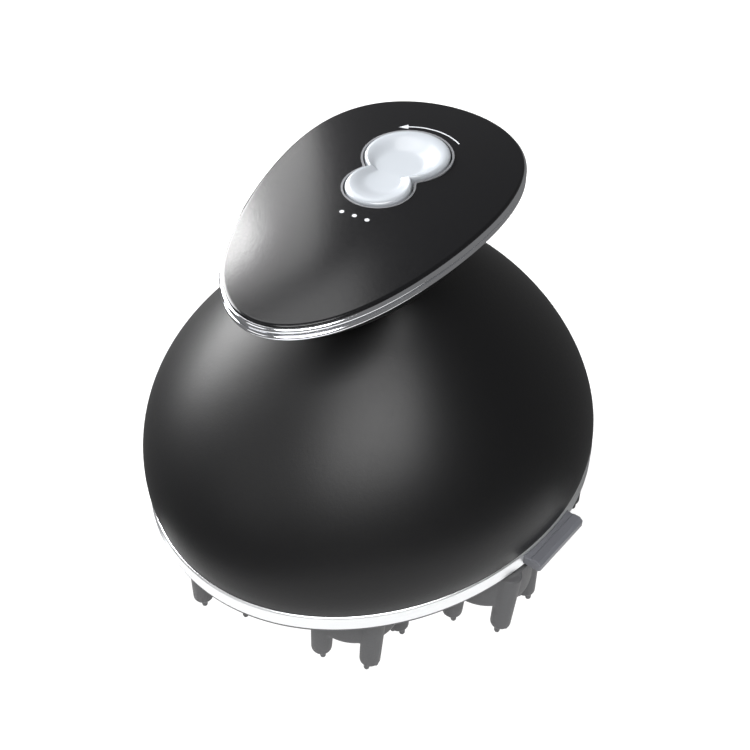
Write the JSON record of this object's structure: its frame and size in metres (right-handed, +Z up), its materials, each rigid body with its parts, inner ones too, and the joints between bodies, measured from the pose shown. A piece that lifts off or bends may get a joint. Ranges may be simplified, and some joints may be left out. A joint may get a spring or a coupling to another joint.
{
  "type": "electric scalp massager",
  "caption": "Cordless scalp massager: black egg-shaped dome, plate handle with a rocker button, and geared silicone heads with fingers under a silver band.",
  "frame": {"origin": "centre of the base's flat underside, between the heads", "axes": "+Z up through the handle, +X towards the wide end of the handle plate, +Y to the side away from the release tab"},
  "size_m": [0.1273, 0.1175, 0.1021],
  "materials": {
    "black_shell": "satin black moulding",
    "black_cover": "satin black cover with a soft sheen",
    "chrome_trim": "polished chrome plating",
    "grey_surround": "dull grey",
    "pearl_white": "pearl white gloss",
    "inner_black": "fine-grained black",
    "board_green": "green solder mask",
    "chip_black": "moulded black",
    "silver_band": "satin silver, brushed along its length",
    "dark_base": "matt dark grey",
    "seal_rubber": "soft black",
    "tab_grey": "satin blue-grey",
    "bushing_brass": "turned brass",
    "screw_steel": "zinc-plated",
    "contact_gilt": "gilt",
    "deck_grey": "moulded grey",
    "motor_steel": "drawn steel can",
    "weight_iron": "sintered",
    "battery_film": "blue shrink film",
    "gear_nylon": "natural nylon",
    "silicone_grey": "soft matt silicone"
  },
  "bodies": {
    "casing": {"dome_shell": "black_shell", "handle_cover": "black_cover", "rim_trim": "chrome_trim", "button_surround": "grey_surround", "button_frame": "inner_black", "spindle_bushings": "bushing_brass", "switch_board": "board_green", "tact_switches": "chip_black", "base_band": "silver_band", "base_plate": "dark_base", "base_seal": "seal_rubber", "base_screws": "screw_steel", "charge_contacts": "contact_gilt", "gear_deck": "deck_grey", "massage_motor": "motor_steel", "motor_screws": "screw_steel", "tapping_motor": "motor_steel", "battery_cell": "battery_film", "battery_holder": "inner_black", "main_board": "board_green", "board_components": "chip_black"},
    "rocker": {"rocker_button": "pearl_white"},
    "tab": {"release_tab": "tab_grey"},
    "drive": {"drive_gear": "gear_nylon"},
    "tapper": {"tapping_weight": "weight_iron"},
    "massage_head_1": {"spindle_1": "gear_nylon", "silicone_head_1": "silicone_grey"},
    "massage_head_2": {"spindle_2": "gear_nylon", "silicone_head_2": "silicone_grey"},
    "massage_head_3": {"spindle_3": "gear_nylon", "silicone_head_3": "silicone_grey"},
    "massage_head_4": {"spindle_4": "gear_nylon", "silicone_head_4": "silicone_grey"},
    "massage_head_5": {"spindle_5": "gear_nylon", "silicone_head_5": "silicone_grey"},
    "massage_head_6": {"spindle_6": "gear_nylon", "silicone_head_6": "silicone_grey"},
    "massage_head_7": {"spindle_7": "gear_nylon", "silicone_head_7": "silicone_grey"},
    "massage_head_8": {"spindle_8": "gear_nylon", "silicone_head_8": "silicone_grey"}
  },
  "joints": [
    {"name": "rocker_tilt", "type": "hinge", "parent": "casing", "child": "rocker", "pos_m": [0.00979, 0, 0.07438], "axis": [0, 1, 0], "range_deg": [-3, 3], "stiffness_Nm_per_rad": 0.2},
    {"name": "tab_press", "type": "slide", "parent": "casing", "child": "tab", "axis": [0.1684, 0.9857, 0], "range_m": [0, 0.0015], "stiffness_N_per_m": 400, "springref_m": -0.002},
    {"name": "drive_spin", "type": "hinge", "parent": "casing", "child": "drive", "pos_m": [0, 0, 0.0075], "axis": [0, 0, 1], "continuous": true},
    {"name": "tapper_spin", "type": "hinge", "parent": "casing", "child": "tapper", "pos_m": [0.034, 0, 0.0375], "axis": [0, 0, 1], "continuous": true},
    {"name": "head_1_spin", "type": "hinge", "parent": "casing", "child": "massage_head_1", "pos_m": [0.04045, 0.01973, 0], "axis": [0, 0, 1], "continuous": true},
    {"name": "head_2_spin", "type": "hinge", "parent": "casing", "child": "massage_head_2", "pos_m": [0.01465, 0.04255, 0], "axis": [0, 0, 1], "continuous": true},
    {"name": "head_3_spin", "type": "hinge", "parent": "casing", "child": "massage_head_3", "pos_m": [-0.01973, 0.04045, 0], "axis": [0, 0, 1], "continuous": true},
    {"name": "head_4_spin", "type": "hinge", "parent": "casing", "child": "massage_head_4", "pos_m": [-0.04255, 0.01465, 0], "axis": [0, 0, 1], "continuous": true},
    {"name": "head_5_spin", "type": "hinge", "parent": "casing", "child": "massage_head_5", "pos_m": [-0.04045, -0.01973, 0], "axis": [0, 0, 1], "continuous": true},
    {"name": "head_6_spin", "type": "hinge", "parent": "casing", "child": "massage_head_6", "pos_m": [-0.01465, -0.04255, 0], "axis": [0, 0, 1], "continuous": true},
    {"name": "head_7_spin", "type": "hinge", "parent": "casing", "child": "massage_head_7", "pos_m": [0.01973, -0.04045, 0], "axis": [0, 0, 1], "continuous": true},
    {"name": "head_8_spin", "type": "hinge", "parent": "casing", "child": "massage_head_8", "pos_m": [0.04255, -0.01465, 0], "axis": [0, 0, 1], "continuous": true}
  ],
  "couplings": [
    {"joint": "head_1_spin", "follows": "drive_spin", "ratio": -6},
    {"joint": "head_2_spin", "follows": "drive_spin", "ratio": -6},
    {"joint": "head_3_spin", "follows": "drive_spin", "ratio": -6},
    {"joint": "head_4_spin", "follows": "drive_spin", "ratio": -6},
    {"joint": "head_5_spin", "follows": "drive_spin", "ratio": -6},
    {"joint": "head_6_spin", "follows": "drive_spin", "ratio": -6},
    {"joint": "head_7_spin", "follows": "drive_spin", "ratio": -6},
    {"joint": "head_8_spin", "follows": "drive_spin", "ratio": -6}
  ]
}
